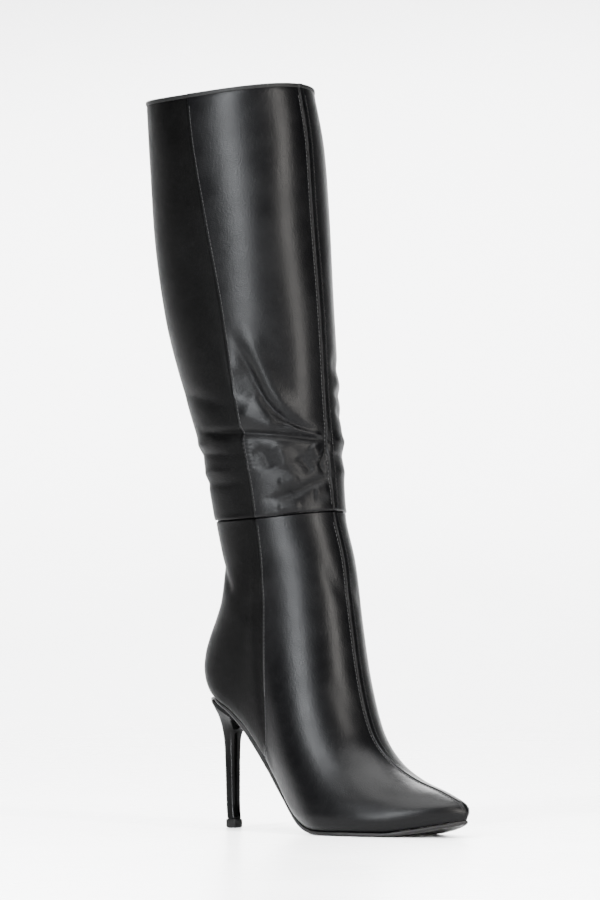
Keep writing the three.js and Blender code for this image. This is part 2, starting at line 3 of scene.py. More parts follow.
import bpy
import numpy as np
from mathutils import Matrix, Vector


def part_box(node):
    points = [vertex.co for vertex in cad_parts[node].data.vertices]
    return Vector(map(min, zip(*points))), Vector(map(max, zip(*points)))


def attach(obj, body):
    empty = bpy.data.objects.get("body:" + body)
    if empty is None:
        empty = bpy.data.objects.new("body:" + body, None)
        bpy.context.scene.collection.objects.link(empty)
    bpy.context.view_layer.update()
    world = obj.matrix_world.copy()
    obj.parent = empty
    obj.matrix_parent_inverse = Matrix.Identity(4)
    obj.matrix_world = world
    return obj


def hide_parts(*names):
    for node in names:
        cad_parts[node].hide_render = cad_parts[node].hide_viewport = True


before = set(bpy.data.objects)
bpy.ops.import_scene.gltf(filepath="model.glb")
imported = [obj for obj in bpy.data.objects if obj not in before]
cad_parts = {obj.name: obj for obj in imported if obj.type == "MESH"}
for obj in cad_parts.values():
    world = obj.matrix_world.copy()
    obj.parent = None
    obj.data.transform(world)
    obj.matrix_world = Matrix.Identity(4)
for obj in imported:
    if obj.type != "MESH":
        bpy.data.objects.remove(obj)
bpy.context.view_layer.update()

# Foot part of the upper: vamp and counter in smooth black leather, pulled over the last.
# The vamp is lapped over the counter at the side, and a raised seam runs down its front.
# Its top edge is set in under the shaft's hem, and its lower edge stands on the outsole.
MM = 0.001  # sizes and tables are in mm from the heel's middle axis
LEATHER = 1.6  # wall of the foot part, with its lining
PANEL_STEP = 0.7  # how far a lapped panel stands over its neighbour
SHAFT_STEP = 0.8  # how far the shaft's hem stands over the foot part
SHAFT_LINING = -0.9  # inner face of the shaft, from the boot's skin
FRONT_SEAM_WIDTH = 4.2
FRONT_SEAM_RISE = 0.7
SEAM_EDGE = 0.55  # width of a panel's turned edge
LAP = 0.03  # levels that the foot part reaches up inside the shaft
TUCK_GAP = 0.3  # between the foot part's top edge and the shaft's lining
FEATHER_GAP = 0.55  # between the upper's lower edge and the outsole
ZIP_SLOT = 9.0  # between the two leather edges
ZIP_FROM = 0.1  # levels where the zip's slot begins and ends
ZIP_TO = 1.575
TOP_LIFT_X = -0.7  # the top lift's middle, from the heel's axis

lift_low, lift_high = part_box("top_lift")
HEEL_AXIS = np.array([
    (lift_low[0] + lift_high[0]) / 2 - TOP_LIFT_X * MM,
    (lift_low[1] + lift_high[1]) / 2,
    0.0,
])


class Rows:
    """Rows of sizes with named columns, read by name with a smooth curve that never overshoots."""

    def __init__(self, names, rows):
        table = np.array(rows, dtype=float)
        self.at = table[:, 0]
        self.value = dict(zip(names.split(), table.T))

    def __call__(self, name, x):
        at, value = self.at, self.value[name]
        slope = np.diff(value) / np.diff(at)
        before = np.concatenate([slope[:1], slope])
        after = np.concatenate([slope, slope[-1:]])
        level = before * after <= 0
        tangent = np.where(level, 0, 2 * before * after / np.where(level, 1, before + after))
        x = np.asarray(x, dtype=float)
        i = np.clip(np.searchsorted(at, x, side="right") - 1, 0, len(at) - 2)
        span = at[i + 1] - at[i]
        t = (x - at[i]) / span
        pull = t * (1 - t) * ((1 - t) * tangent[i] - t * tangent[i + 1])
        return value[i] + (value[i + 1] - value[i]) * t * t * (3 - 2 * t) + pull * span


def eased(share):
    """A share from 0 to 1 that starts and ends slowly."""
    return share * share * (3 - 2 * share)


# Sections up the boot, from the lower edge (level 0) by the hem (1) to the collar (2): the back and
# front ends, the places of heel and ball, the half widths there and at the waist, how pointed the
# front is, how far the section follows the sole, how far its sides dip, and its lean sideways.
RINGS = Rows(
    "level backX backZ frontX frontZ heelAt ballAt heel waistOut waistIn ballOut ballIn point sag dip lean",
    [
        [0.00, -10.5, 94.5, 207.5, 12.3, 14, 116, 25.0, 26.5, 20.5, 41.5, 38.0, 0.78, 1.00, 0, 0.0],
        [0.04, -13.5, 97.5, 208.5, 16.5, 14, 115, 27.3, 29.3, 24.0, 43.8, 40.6, 0.70, 1.00, 0, 0.0],
        [0.10, -16.5, 102.0, 205.0, 21.5, 15, 113, 28.8, 31.3, 27.5, 44.8, 41.8, 0.62, 0.97, 0, 0.0],
        [0.18, -19.0, 108.0, 190.0, 28.5, 17, 109, 30.0, 32.8, 30.2, 44.2, 41.6, 0.58, 0.90, 0, 0.0],
        [0.28, -20.3, 116.0, 165.0, 37.0, 20, 101, 30.8, 33.8, 32.0, 42.6, 40.4, 0.55, 0.76, 0, 0.0],
        [0.38, -19.3, 124.0, 143.5, 48.5, 24, 90, 31.6, 34.6, 33.4, 40.8, 39.2, 0.53, 0.58, 0, 0.0],
        [0.50, -15.0, 135.5, 127.0, 66.0, 29, 79, 32.6, 35.4, 34.6, 39.0, 38.0, 0.51, 0.38, 0, 0.0],
        [0.62, -8.5, 147.5, 115.5, 99.0, 35, 67, 33.8, 36.0, 35.8, 37.6, 37.2, 0.50, 0.20, 0, 0.0],
        [0.75, -2.0, 161.0, 107.5, 142.0, 41, 58, 35.4, 36.4, 36.4, 36.8, 36.8, 0.50, 0.08, 0, 0.0],
        [0.87, 0.8, 180.0, 101.5, 184.0, 46, 53, 36.4, 36.7, 36.7, 36.8, 36.8, 0.50, 0.02, 0, -0.5],
        [1.00, -5.0, 214.0, 93.5, 219.5, 44, 44.5, 37.6, 37.6, 37.6, 37.6, 37.6, 0.50, 0, 2.5, -2.3],
        [1.12, -12.5, 252.0, 91.0, 256.0, 39, 39.5, 39.7, 39.7, 39.7, 39.7, 39.7, 0.50, 0, 2.0, -4.4],
        [1.28, -26.5, 297.0, 88.5, 300.0, 31, 31.5, 44.0, 44.0, 44.0, 44.0, 44.0, 0.50, 0, 1.0, -7.0],
        [1.48, -41.5, 358.0, 86.5, 360.0, 22.5, 23, 49.0, 49.0, 49.0, 49.0, 49.0, 0.50, 0, 0.5, -10.5],
        [1.70, -49.5, 424.0, 84.0, 425.0, 17, 17.5, 51.0, 51.0, 51.0, 51.0, 51.5, 0.50, 0, 1.0, -14.2],
        [1.86, -51.0, 467.0, 82.0, 469.0, 15.5, 16, 50.8, 50.8, 50.8, 50.8, 50.8, 0.50, 0, 2.0, -16.6],
        [2.00, -52.0, 507.0, 75.5, 511.5, 11.5, 12, 48.6, 48.6, 48.6, 48.6, 48.0, 0.50, 0, 4.5, -19.0],
    ],
)
# The sole's underside and thickness along the boot, and where the side seam and the zip run.
SOLE = Rows("x bottom thick", [
    [-14, 93.2, 2.2],
    [10, 84.0, 2.4],
    [28, 70.5, 3.2],
    [41, 56.5, 4.0],
    [54, 40.8, 4.2],
    [65, 25.8, 4.0],
    [75, 13.6, 3.6],
    [86, 5.4, 3.2],
    [98, 1.5, 2.9],
    [110, 0, 2.8],
    [158, 0, 2.8],
    [176, 2.4, 2.7],
    [194, 6.0, 2.5],
    [210, 9.9, 2.4],
])
SIDE_LINES = Rows("level seamX zipX", [
    [0.00, 53.0, 56.0],
    [0.28, 58.5, 60.5],
    [0.50, 60.0, 63.5],
    [0.75, 58.5, 64.0],
    [0.87, 57.0, 61.0],
    [1.00, 54.0, 56.5],
    [1.28, 44.5, 49.0],
    [1.48, 39.0, 46.5],
    [1.70, 29.0, 47.0],
    [2.00, 16.5, 46.0],
])

# Soft folds of the gathered shaft and the foot part, each as its width, its depth and a path of
# turns and heights, in degrees and mm. A turn runs from 0 at the back by the outer side (90) to
# 180 at the front and on round the inner side. Troughs are negative and ridges positive.
FOLDS = [
    (3.0, -3.4, (111, 338), (116, 321), (122, 304), (126, 295), (132, 287), (140, 281), (152, 276),
     (178, 270)),
    (6.0, 2.1, (121, 342), (127, 320), (132, 304), (139, 293), (152, 285)),
    (2.4, 2.8, (136, 280), (145, 276.5), (156, 273.5), (174, 270.5)),
    (2.8, -3.0, (60, 275), (84, 273), (103, 273), (128, 271.5), (152, 269.5), (182, 267.5)),
    (6.0, 1.9, (104, 288), (118, 282), (134, 277)),
    (6.0, -2.4, (112, 318), (113, 307), (117, 296)),
    (4.0, 1.0, (101, 330), (102, 306), (106, 290)),
    (4.6, 2.4, (131, 265), (134, 256), (134, 247)),
    (5.0, -2.3, (113, 264), (118, 256), (121, 247)),
    (4.4, 2.2, (159, 265), (163, 260), (164, 254)),
    (2.4, -2.4, (180, 267), (173, 259), (167, 252), (171, 244)),
    (2.6, -2.6, (116, 227), (126, 229), (139, 231.5), (155, 238), (178, 243)),
    (4.0, 2.2, (125, 239), (134, 238.5), (145, 243)),
    (4.6, 1.7, (156, 232), (164, 231), (174, 232)),
    (3.2, 1.4, (122, 222), (132, 221.5), (144, 222.5)),
    (4.2, -2.2, (146, 258), (152, 251), (158, 245)),
    (4.2, 0.95, (350, 266), (20, 266), (44, 267), (70, 266)),
    (3.2, -0.85, (350, 258), (22, 258), (50, 260), (96, 258)),
    (3.4, 0.8, (350, 247), (22, 246), (60, 248), (92, 246)),
    (3.0, -0.8, (350, 239), (30, 240), (70, 238), (102, 240)),
    (6.0, -1.0, (30, 304), (64, 299), (98, 292)),
    (4.6, 1.6, (184, 268), (200, 268), (224, 267)),
    (3.2, -1.1, (182, 258), (200, 257), (222, 258)),
    (4.0, 0.7, (186, 247), (204, 247), (224, 246)),
    (5.0, -1.2, (188, 322), (206, 319), (228, 316)),
    (4.2, -1.1, (190, 301), (210, 300), (240, 295)),
    (4.0, -1.1, (192, 290), (212, 285), (232, 279)),
    (5.0, 0.7, (192, 309), (210, 307), (230, 305)),
    (4.0, -1.7, (228, 283), (256, 280), (288, 276)),
    (5.0, 1.3, (236, 297), (262, 294), (288, 292)),
    (3.6, -1.4, (240, 261), (268, 264), (296, 263)),
    (3.6, -1.2, (232, 244), (258, 241), (282, 240)),
    (3.6, -1.5, (296, 274), (322, 272), (346, 273)),
    (4.6, -1.4, (20, 188), (42, 178), (64, 162)),
    (4.6, -1.3, (340, 186), (320, 178), (300, 166)),
    (6.0, -0.9, (152, 182), (162, 172), (176, 156)),
    (6.0, -0.8, (184, 174), (192, 166), (204, 156)),
    (9.0, -0.7, (70, 146), (84, 154), (104, 164)),
    (9.0, -0.6, (146, 104), (158, 90), (174, 76)),
]
PUCKERS = [269, 266.2, 263.4, 260.6, 257.8, 255, 252.2, 249.4]  # short ridges beside the side seam
FOLDS += [(1.2, 0.75, (101, height), (105, height), (110, height - 1)) for height in PUCKERS]


def sole_slope(x):
    """Rise of the sole's underside for each mm forward."""
    reach = 4
    return (SOLE("bottom", x + reach) - SOLE("bottom", x - reach)) / (2 * reach)


def feather_z(x):
    """Height of the upper's lower edge, just over the sole's top face."""
    return SOLE("bottom", x) + SOLE("thick", x) * np.hypot(1, sole_slope(x)) + FEATHER_GAP


def half_width(level, share, inner):
    """Half the width of a section at a share of its length, on the inner or the outer side."""
    back = RINGS("backX", level)
    long = RINGS("frontX", level) - back
    heel_at = (RINGS("heelAt", level) - back) / long
    ball_at = (RINGS("ballAt", level) - back) / long
    waist_at = (heel_at + ball_at) / 2
    heel = RINGS("heel", level)
    waist = np.where(inner, RINGS("waistIn", level), RINGS("waistOut", level))
    ball = np.where(inner, RINGS("ballIn", level), RINGS("ballOut", level))
    point = RINGS("point", level)
    round_back = heel * np.sqrt(np.clip(1 - (1 - share / heel_at) ** 2, 0, 1))
    ahead = np.clip((share - ball_at) / (1 - ball_at), 0, 1)
    round_front = ball * np.clip(1 - ahead ** (2 - 1.5 * (point - 0.5)), 0, 1) ** point
    to_waist = eased(np.clip((share - heel_at) / (waist_at - heel_at), 0, 1))
    to_ball = eased(np.clip((share - waist_at) / (ball_at - waist_at), 0, 1))
    middle = np.where(share < waist_at, heel + (waist - heel) * to_waist, waist + (ball - waist) * to_ball)
    return np.where(share < heel_at, round_back, np.where(share > ball_at, round_front, middle))


def sole_x(level, share):
    """The place along the sole that lies under a share of a section's length."""
    back = RINGS("backX", level)
    long = RINGS("frontX", level) - back
    heel_at = (RINGS("heelAt", level) - back) / long
    ball_at = (RINGS("ballAt", level) - back) / long
    ends = [float(RINGS(name, 0.0)) for name in ("backX", "heelAt", "ballAt", "frontX")]
    rear = ends[0] + (ends[1] - ends[0]) * share / heel_at
    waist = ends[1] + (ends[2] - ends[1]) * (share - heel_at) / (ball_at - heel_at)
    fore = ends[2] + (ends[3] - ends[2]) * (share - ball_at) / (1 - ball_at)
    return np.where(share < heel_at, rear, np.where(share < ball_at, waist, fore))


def skin(level, turn):
    """Points of the boot's skin in mm from the heel's axis, for levels and turns in radians."""
    share = (1 - np.cos(turn)) / 2
    side = np.sin(turn)
    back = RINGS("backX", level)
    long = RINGS("frontX", level) - back
    rise = RINGS("frontZ", level) - RINGS("backZ", level)
    under = sole_x(level, share)
    first, last = float(RINGS("backX", 0.0)), float(RINGS("frontX", 0.0))
    low, high = feather_z(first), feather_z(last)
    chord = low + (high - low) * (under - first) / (last - first)
    curve = (feather_z(under) - chord) * RINGS("sag", level)
    z = RINGS("backZ", level) + rise * share + curve - RINGS("dip", level) * side * side
    z = np.where(level == 0, feather_z(under), z)
    width = half_width(level, share, side < 0) * np.where(side < 0, 1, -1)
    x, y, z = np.broadcast_arrays(back + long * share, width + RINGS("lean", level), z)
    return np.stack([x, y, z], axis=-1)


def outward(level, turn):
    """Unit directions that point out of the skin."""
    step = 0.012
    base = np.maximum(level, 0.001)
    around = skin(base, turn + step) - skin(base, turn - step)
    up = skin(np.minimum(level + step, 2), turn) - skin(np.maximum(level - step, 0.001), turn)
    out = np.cross(around, up)
    return out / np.linalg.norm(out, axis=-1, keepdims=True)


def skin_off(level, turn, offset):
    """Skin moved out by an offset; the lower edge moves level, so that it stays on the sole."""
    point = skin(level, turn)
    out = outward(level, turn)
    flat = out * np.array([1, 1, 0])
    flat = flat / np.linalg.norm(flat, axis=-1, keepdims=True)
    edge = np.broadcast_to((np.asarray(level) == 0)[..., None], out.shape)
    moved = point + np.where(edge, flat, out) * np.asarray(offset)[..., None]
    moved[..., 2] = np.where(edge[..., 0], feather_z(moved[..., 0]), moved[..., 2])
    return moved


def turn_at_x(level, x):
    """The turn on the outer side where a section reaches a place along the boot."""
    back = RINGS("backX", level)
    share = (x - back) / (RINGS("frontX", level) - back)
    return np.arccos(1 - 2 * np.clip(share, 0, 1))


def turn_at_half(level, half):
    """The turn near the front where a section has narrowed to a half width, found by halving."""
    wide = turn_at_x(level, RINGS("ballAt", level))
    narrow = np.full_like(wide, math.pi)
    for _ in range(24):
        middle = (wide + narrow) / 2
        over = half_width(level, (1 - np.cos(middle)) / 2, False) > half
        wide = np.where(over, middle, wide)
        narrow = np.where(over, narrow, middle)
    return wide


def turn_per_mm(level, turn):
    """How much turn one mm round the skin takes."""
    step = 0.01
    gap = skin(level, turn + step) - skin(level, turn - step)
    return 2 * step / np.linalg.norm(gap, axis=-1)


def fold_depth(turn, height):
    """How far the folds, and a slight slackness, push the leather in or out at a turn and a height."""
    around_mm = 0.785  # one degree round the gathered part of the shaft
    round_off = 1.6
    end_depth = 0.2
    across = np.degrees(turn) % 360
    depth = np.zeros(across.shape)
    for width, deep, *path in FOLDS:
        ends = np.array(path, dtype=float)
        ends[:, 0] = np.unwrap(ends[:, 0], period=360) * around_mm
        middle = ends[:, 0].mean() / around_mm
        x = (middle + (across - middle + 180) % 360 - 180) * around_mm
        steps = np.hypot(*np.diff(ends, axis=0).T)
        nearest = np.full(across.shape, np.inf)
        share = np.zeros(across.shape)
        for (ax, az), (bx, bz), long, done in zip(ends, ends[1:], steps, np.cumsum(steps) - steps):
            t = np.clip(((x - ax) * (bx - ax) + (height - az) * (bz - az)) / long ** 2, 0, 1)
            gap = (x - ax - t * (bx - ax)) ** 2 + (height - az - t * (bz - az)) ** 2
            share = np.where(gap < nearest, (done + t * long) / steps.sum(), share)
            nearest = np.minimum(nearest, gap)
        fade = end_depth + (1 - end_depth) * eased(np.clip(4 * np.minimum(share, 1 - share), 0, 1))
        depth += deep * fade * np.exp(-(np.sqrt(nearest) / width) ** round_off)
    slack = 0.30 * np.sin(3 * turn + height / 31) + 0.22 * np.sin(5 * turn - height / 23 + 1.3)
    above_ankle = np.clip((height - 150) / 80, 0, 1)
    return depth + slack * above_ankle


def press(level, turn):
    """Fold depth at levels and turns, held flat at the edges, the lap and beside the zip."""
    level, turn = np.broadcast_arrays(level, turn)
    fold = fold_depth(turn, skin(level, turn)[..., 2])
    at_edges = np.clip(level / 0.15, 0, 1) * np.clip((2 - level) / 0.05, 0, 1)
    at_lap = np.clip(np.abs(level - 1.0) / 0.012, 0.25, 1)
    zip_middle = 2 * math.pi - turn_at_x(level, SIDE_LINES("zipX", level))
    slots_away = np.abs(turn - zip_middle) / (ZIP_SLOT / 2 * turn_per_mm(level, zip_middle))
    zipped = (level > ZIP_FROM - 0.02) & (level < ZIP_TO + 0.03)
    at_zip = np.where(zipped, np.clip((slots_away - 1.0) / 1.6, 0.12, 1), 1)
    return fold * at_edges * at_lap * at_zip


def wall_sheets(levels, base, lining, tuck=None):
    """Outer and inner points of a leather wall, its turns, the columns of its lines, and its steps."""
    level = np.asarray(levels)[:, None]
    fade = eased(np.clip((level - 0.02) / 0.1, 0, 1))
    seam = turn_at_x(level, SIDE_LINES("seamX", level))
    zip_middle = 2 * math.pi - turn_at_x(level, SIDE_LINES("zipX", level))
    zip_half = ZIP_SLOT / 2 * turn_per_mm(level, zip_middle)
    strip = turn_at_half(level, FRONT_SEAM_WIDTH / 2)
    seam_edge = SEAM_EDGE * turn_per_mm(level, seam)
    strip_edge = np.minimum(SEAM_EDGE * turn_per_mm(level, strip), (math.pi - strip) * 0.35)
    back = 0 * fade
    front = PANEL_STEP * fade
    high = front + FRONT_SEAM_RISE * fade
    stops = [  # each line round the wall: its name, turn, step, and the columns up to the next line
        ("back", 0 * seam, back, 58),
        ("seam", seam, back, 3),
        ("seam_top", seam + seam_edge, front, 60),
        ("strip", strip, front, 3),
        ("strip_top", strip + strip_edge, high, 8),
        ("strip_far_top", 2 * math.pi - strip - strip_edge, high, 3),
        ("strip_far", 2 * math.pi - strip, front, 44),
        ("zip_front", zip_middle - zip_half, front, 4),
        ("lap_front", zip_middle - zip_half * 0.05, front, 2),
        ("lap_back", zip_middle + zip_half * 0.05, back, 4),
        ("zip_back", zip_middle + zip_half, back, 56),
        ("end", 2 * math.pi + 0 * seam, back, 0),
    ]
    turns, offsets, column_of = [], [], {}
    for (name, turn, offset, count), (_, next_turn, next_offset, _) in zip(stops, stops[1:]):
        column_of[name] = len(turns)
        for share in np.arange(count) / count:
            turns.append(turn + (next_turn - turn) * share)
            offsets.append(offset + (next_offset - offset) * eased(share))
    turn = np.concatenate(turns, axis=1)
    offset = np.concatenate(offsets, axis=1) + base
    if tuck is not None:
        offset = np.where(level > 0.999, tuck, offset)
    fold = press(level, turn)
    outer = skin_off(level + 0 * turn, turn, offset + fold)
    inner = skin_off(level + 0 * turn, turn, lining + fold)
    return outer, inner, turn, column_of, offset


def select_only(piece):
    """Selects one piece, because an operator acts on all that is selected."""
    bpy.ops.object.select_all(action="DESELECT")
    piece.select_set(True)
    bpy.context.view_layer.objects.active = piece


def wall_piece(name, levels, base, linings, tuck=None, softened=()):
    """A closed leather wall with the zip's slot open, in mesh code because its form is the last's.

    Its finishes are the back panel's, the front panel's and the lining's, in that order, and its
    attribute gather says how much the leather is gathered there.
    """
    lining_finish = 2
    gather_z = 250
    gather_tall = 26
    outer, inner, turn, column_of, _ = wall_sheets(levels, base, linings, tuck)
    for row, share in softened:
        centre = (outer[row] + inner[row]) / 2
        outer[row] = centre + (outer[row] - centre) * share
    rows, columns = turn.shape
    points = np.concatenate([outer.reshape(-1, 3), inner.reshape(-1, 3)]) * MM + HEEL_AXIS
    level = np.asarray(levels)
    open_rows = (level[:-1] >= ZIP_FROM - 1e-6) & (level[1:] <= ZIP_TO + 1e-6)

    def panel(j):
        return int(column_of["seam"] <= j % columns < column_of["lap_front"])

    def is_open(i, j):
        beside = column_of["zip_front"] <= j % columns < column_of["zip_back"]
        return beside and 0 <= i < rows - 1 and open_rows[i]

    def quad(finish, *corners):
        faces.append([sheet * rows * columns + i * columns + j % columns for sheet, i, j in corners])
        finishes.append(finish)

    faces, finishes = [], []
    for i in range(rows - 1):
        for j in range(columns):
            if is_open(i, j):
                continue
            quad(panel(j), (0, i, j), (0, i, j + 1), (0, i + 1, j + 1), (0, i + 1, j))
            quad(lining_finish, (1, i, j), (1, i + 1, j), (1, i + 1, j + 1), (1, i, j + 1))
            if is_open(i, j + 1):
                quad(panel(j), (0, i, j + 1), (1, i, j + 1), (1, i + 1, j + 1), (0, i + 1, j + 1))
            if is_open(i, j - 1):
                quad(panel(j), (1, i, j), (0, i, j), (0, i + 1, j), (1, i + 1, j))
            if is_open(i + 1, j):
                quad(panel(j), (0, i + 1, j), (0, i + 1, j + 1), (1, i + 1, j + 1), (1, i + 1, j))
            if is_open(i - 1, j):
                quad(panel(j), (1, i, j), (1, i, j + 1), (0, i, j + 1), (0, i, j))
    last = rows - 1
    for j in range(columns):
        if not is_open(0, j):
            quad(panel(j), (1, 0, j), (1, 0, j + 1), (0, 0, j + 1), (0, 0, j))
        if not is_open(last - 1, j):
            quad(panel(j), (0, last, j), (0, last, j + 1), (1, last, j + 1), (1, last, j))
    mesh = bpy.data.meshes.new(name)
    mesh.from_pydata(points.tolist(), [], faces)
    mesh.polygons.foreach_set("material_index", finishes)
    height = skin(level[:, None], turn)[..., 2]
    near_hem = np.exp(-((height - gather_z) / gather_tall) ** 2)
    gather = np.clip(np.abs(press(level[:, None], turn)) * 0.35 + near_hem * 0.35, 0, 1)
    gather = np.tile(gather.astype(np.float32).ravel(), 2)
    mesh.attributes.new("gather", "FLOAT", "POINT").data.foreach_set("value", gather)
    mesh.update()
    piece = bpy.data.objects.new(name, mesh)
    bpy.context.collection.objects.link(piece)
    select_only(piece)
    bpy.ops.object.mode_set(mode="EDIT")
    bpy.ops.mesh.select_all(action="SELECT")
    bpy.ops.mesh.delete_loose()
    bpy.ops.object.mode_set(mode="OBJECT")
    bpy.ops.object.shade_smooth_by_angle(angle=math.radians(50))
    return piece


class Wire:
    """A shader socket that can be used in an expression; each operation adds a Math node."""

    def __init__(self, finish, socket):
        self.finish = finish
        self.socket = socket

    def math(self, operation, first, second):
        return self.finish.node("ShaderNodeMath", {"operation": operation}, {0: first, 1: second})

    def __add__(self, other):
        return self.math("ADD", self, other)

    def __radd__(self, other):
        return self.math("ADD", other, self)

    def __sub__(self, other):
        return self.math("SUBTRACT", self, other)

    def __rsub__(self, other):
        return self.math("SUBTRACT", other, self)

    def __mul__(self, other):
        return self.math("MULTIPLY", self, other)

    def __rmul__(self, other):
        return self.math("MULTIPLY", other, self)


class Finish:
    """A material whose nodes are added by name, with the principled shader ready to set."""

    def __init__(self, name, **constants):
        self.material = bpy.data.materials.new(name)
        self.material.use_nodes = True
        self.tree = self.material.node_tree
        self.shader = self.tree.nodes["Principled BSDF"]
        self.set(**constants)

    def plug(self, socket, value):
        if isinstance(value, Wire):
            self.tree.links.new(value.socket, socket)
        else:
            socket.default_value = value

    def node(self, kind, settings=None, inputs=None, output=0):
        node = self.tree.nodes.new(kind)
        for name, value in (settings or {}).items():
            setattr(node, name, value)
        for name, value in (inputs or {}).items():
            self.plug(node.inputs[name], value)
        return Wire(self, node.outputs[output])

    def place(self):
        return self.node("ShaderNodeTexCoord", output="Object")

    def noise(self, scale, detail, roughness, stretch=None):
        place = self.place()
        if stretch:
            place = self.node("ShaderNodeMapping", None, {"Vector": place, "Scale": stretch})
        inputs = {"Vector": place, "Scale": scale, "Detail": detail, "Roughness": roughness}
        return self.node("ShaderNodeTexNoise", None, inputs, "Fac")

    def cells(self, scale):
        inputs = {"Vector": self.place(), "Scale": scale}
        return self.node("ShaderNodeTexVoronoi", None, inputs, "Distance")

    def blend(self, share, first, second):
        """A colour between two; the colour sockets of a Mix node are inputs 6 and 7 and output 2."""
        return self.node("ShaderNodeMix", {"data_type": "RGBA"}, {0: share, 6: first, 7: second}, 2)

    def spread(self, value, low, high, to_low=0.0, to_high=1.0):
        inputs = {"Value": value, "From Min": low, "From Max": high, "To Min": to_low, "To Max": to_high}
        return self.node("ShaderNodeMapRange", {"clamp": True}, inputs, "Result")

    def bump(self, height, strength, distance, under=None):
        inputs = {"Height": height, "Strength": strength, "Distance": distance}
        if under is not None:
            inputs["Normal"] = under
        return self.node("ShaderNodeBump", None, inputs, "Normal")

    def set(self, **sockets):
        for socket, value in sockets.items():
            self.plug(self.shader.inputs[socket.replace("_", " ")], value)


def smooth_leather(name, dark, light, polished, dull, shine, grain=0.42):
    """Coated leather: pebble grain, pores, an uneven polish, and fine creases where it is gathered."""
    leather = Finish(name, Specular_IOR_Level=shine)
    broad = leather.noise(14, 3, 0.55)
    patches = leather.noise(70, 3, 0.55)
    pebbles = leather.cells(1150)
    pores = leather.noise(2400, 2, 0.6)
    gather = leather.node("ShaderNodeAttribute", {"attribute_name": "gather"}, None, "Fac")
    veins = leather.noise(150, 4, 0.6, (1, 1, 2.2))
    creases = leather.node("ShaderNodeMath", {"operation": "ABSOLUTE"}, {0: veins * 2 - 1})
    tone = leather.spread(broad * 0.7 + patches * 0.3 + gather * 0.08, 0.35, 0.65)
    leather.set(Base_Color=leather.blend(tone, dark, light))
    polish = leather.spread(broad * 0.5 + patches * 0.5, 0.35, 0.65, polished, dull)
    leather.set(Roughness=polish + pores * 0.05 + pebbles * 0.03 + gather * 0.16)
    fine = leather.bump(pebbles * 0.75 + pores * 0.25, grain, 0.00022)
    creased = leather.bump(creases * gather, 0.35, 0.0009, fine)
    leather.set(Normal=leather.bump(patches, 0.16, 0.0014, creased))
    return leather.material


front_leather = smooth_leather(
    "front_leather", dark=(0.0003, 0.0003, 0.0004, 1), light=(0.0010, 0.0010, 0.0011, 1),
    polished=0.25, dull=0.33, shine=0.06)
# The back panel's copy is darker in colour and duller in polish than the front panel's.
back_leather = smooth_leather(
    "back_leather", dark=(0.0002, 0.0002, 0.0002, 1), light=(0.0006, 0.0006, 0.0006, 1),
    polished=0.36, dull=0.46, shine=0.028)
lining_cloth = smooth_leather(
    "lining_cloth", dark=(0.020, 0.019, 0.018, 1), light=(0.030, 0.028, 0.026, 1),
    polished=0.7, dull=0.85, shine=0.3, grain=0.3)
wall_finishes = (back_leather, front_leather, lining_cloth)

foot_levels = np.concatenate([
    np.linspace(0, 0.1, 14, endpoint=False),
    np.linspace(0.1, 0.5, 42, endpoint=False),
    np.linspace(0.5, 0.99, 42, endpoint=False),
    [0.99, 0.9965, 1.0, 1.0 + LAP / 2, 1.0 + LAP],
])
tucked = SHAFT_LINING - TUCK_GAP
foot_linings = np.where(foot_levels > 0.999, tucked - LEATHER, -LEATHER)[:, None]
upper = wall_piece("upper_leather", foot_levels, 0.0, foot_linings, tucked)
for finish in wall_finishes:
    upper.data.materials.append(finish)
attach(upper, "boot")
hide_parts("upper")

# Shaft: two panels of the same leather, lined, the front one lapped over the back one at the side
# and both sewn to the zip. Its hem is turned and lapped over the foot part above the ankle.
shaft_levels = np.concatenate([  # closest where the folds are
    [1.0015, 1.004],
    np.linspace(1.008, 1.09, 20, endpoint=False),
    np.linspace(1.09, 1.20, 50, endpoint=False),
    np.linspace(1.20, 1.30, 24, endpoint=False),
    np.linspace(1.30, ZIP_TO, 30, endpoint=False),
    np.linspace(ZIP_TO, 1.985, 38),
    [1.996, 2.0],
])
turned_hem, turned_top = (0, 0.55), (-1, 0.6)  # a row, and the share of the outer face's reach kept
shaft = wall_piece(
    "shaft_leather", shaft_levels, SHAFT_STEP, SHAFT_LINING, softened=(turned_hem, turned_top))
for finish in wall_finishes:
    shaft.data.materials.append(finish)
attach(shaft, "boot")
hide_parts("shaft")

# Collar binding: a folded strip of thin leather glued over the top edge, which follows the steps
# of the lapped panels and of the raised seam, with a soft rounded fold.
def mesh_piece(name, points, faces, angle):
    """A piece from points in mm from the heel's axis and faces, smooth below an angle in degrees."""
    mesh = bpy.data.meshes.new(name)
    mesh.from_pydata((points * MM + HEEL_AXIS).tolist(), [], faces)
    piece = bpy.data.objects.new(name, mesh)
    bpy.context.collection.objects.link(piece)
    select_only(piece)
    bpy.ops.object.mode_set(mode="EDIT")
    bpy.ops.mesh.select_all(action="SELECT")
    bpy.ops.mesh.normals_make_consistent(inside=False)
    bpy.ops.object.mode_set(mode="OBJECT")
    bpy.ops.object.shade_smooth_by_angle(angle=math.radians(angle))
    return piece


_, _, collar_turn, _, leather_face = wall_sheets([2.0], SHAFT_STEP, SHAFT_LINING)
collar_level = np.full_like(collar_turn, 2.0)
lining_face = np.full_like(leather_face, SHAFT_LINING)
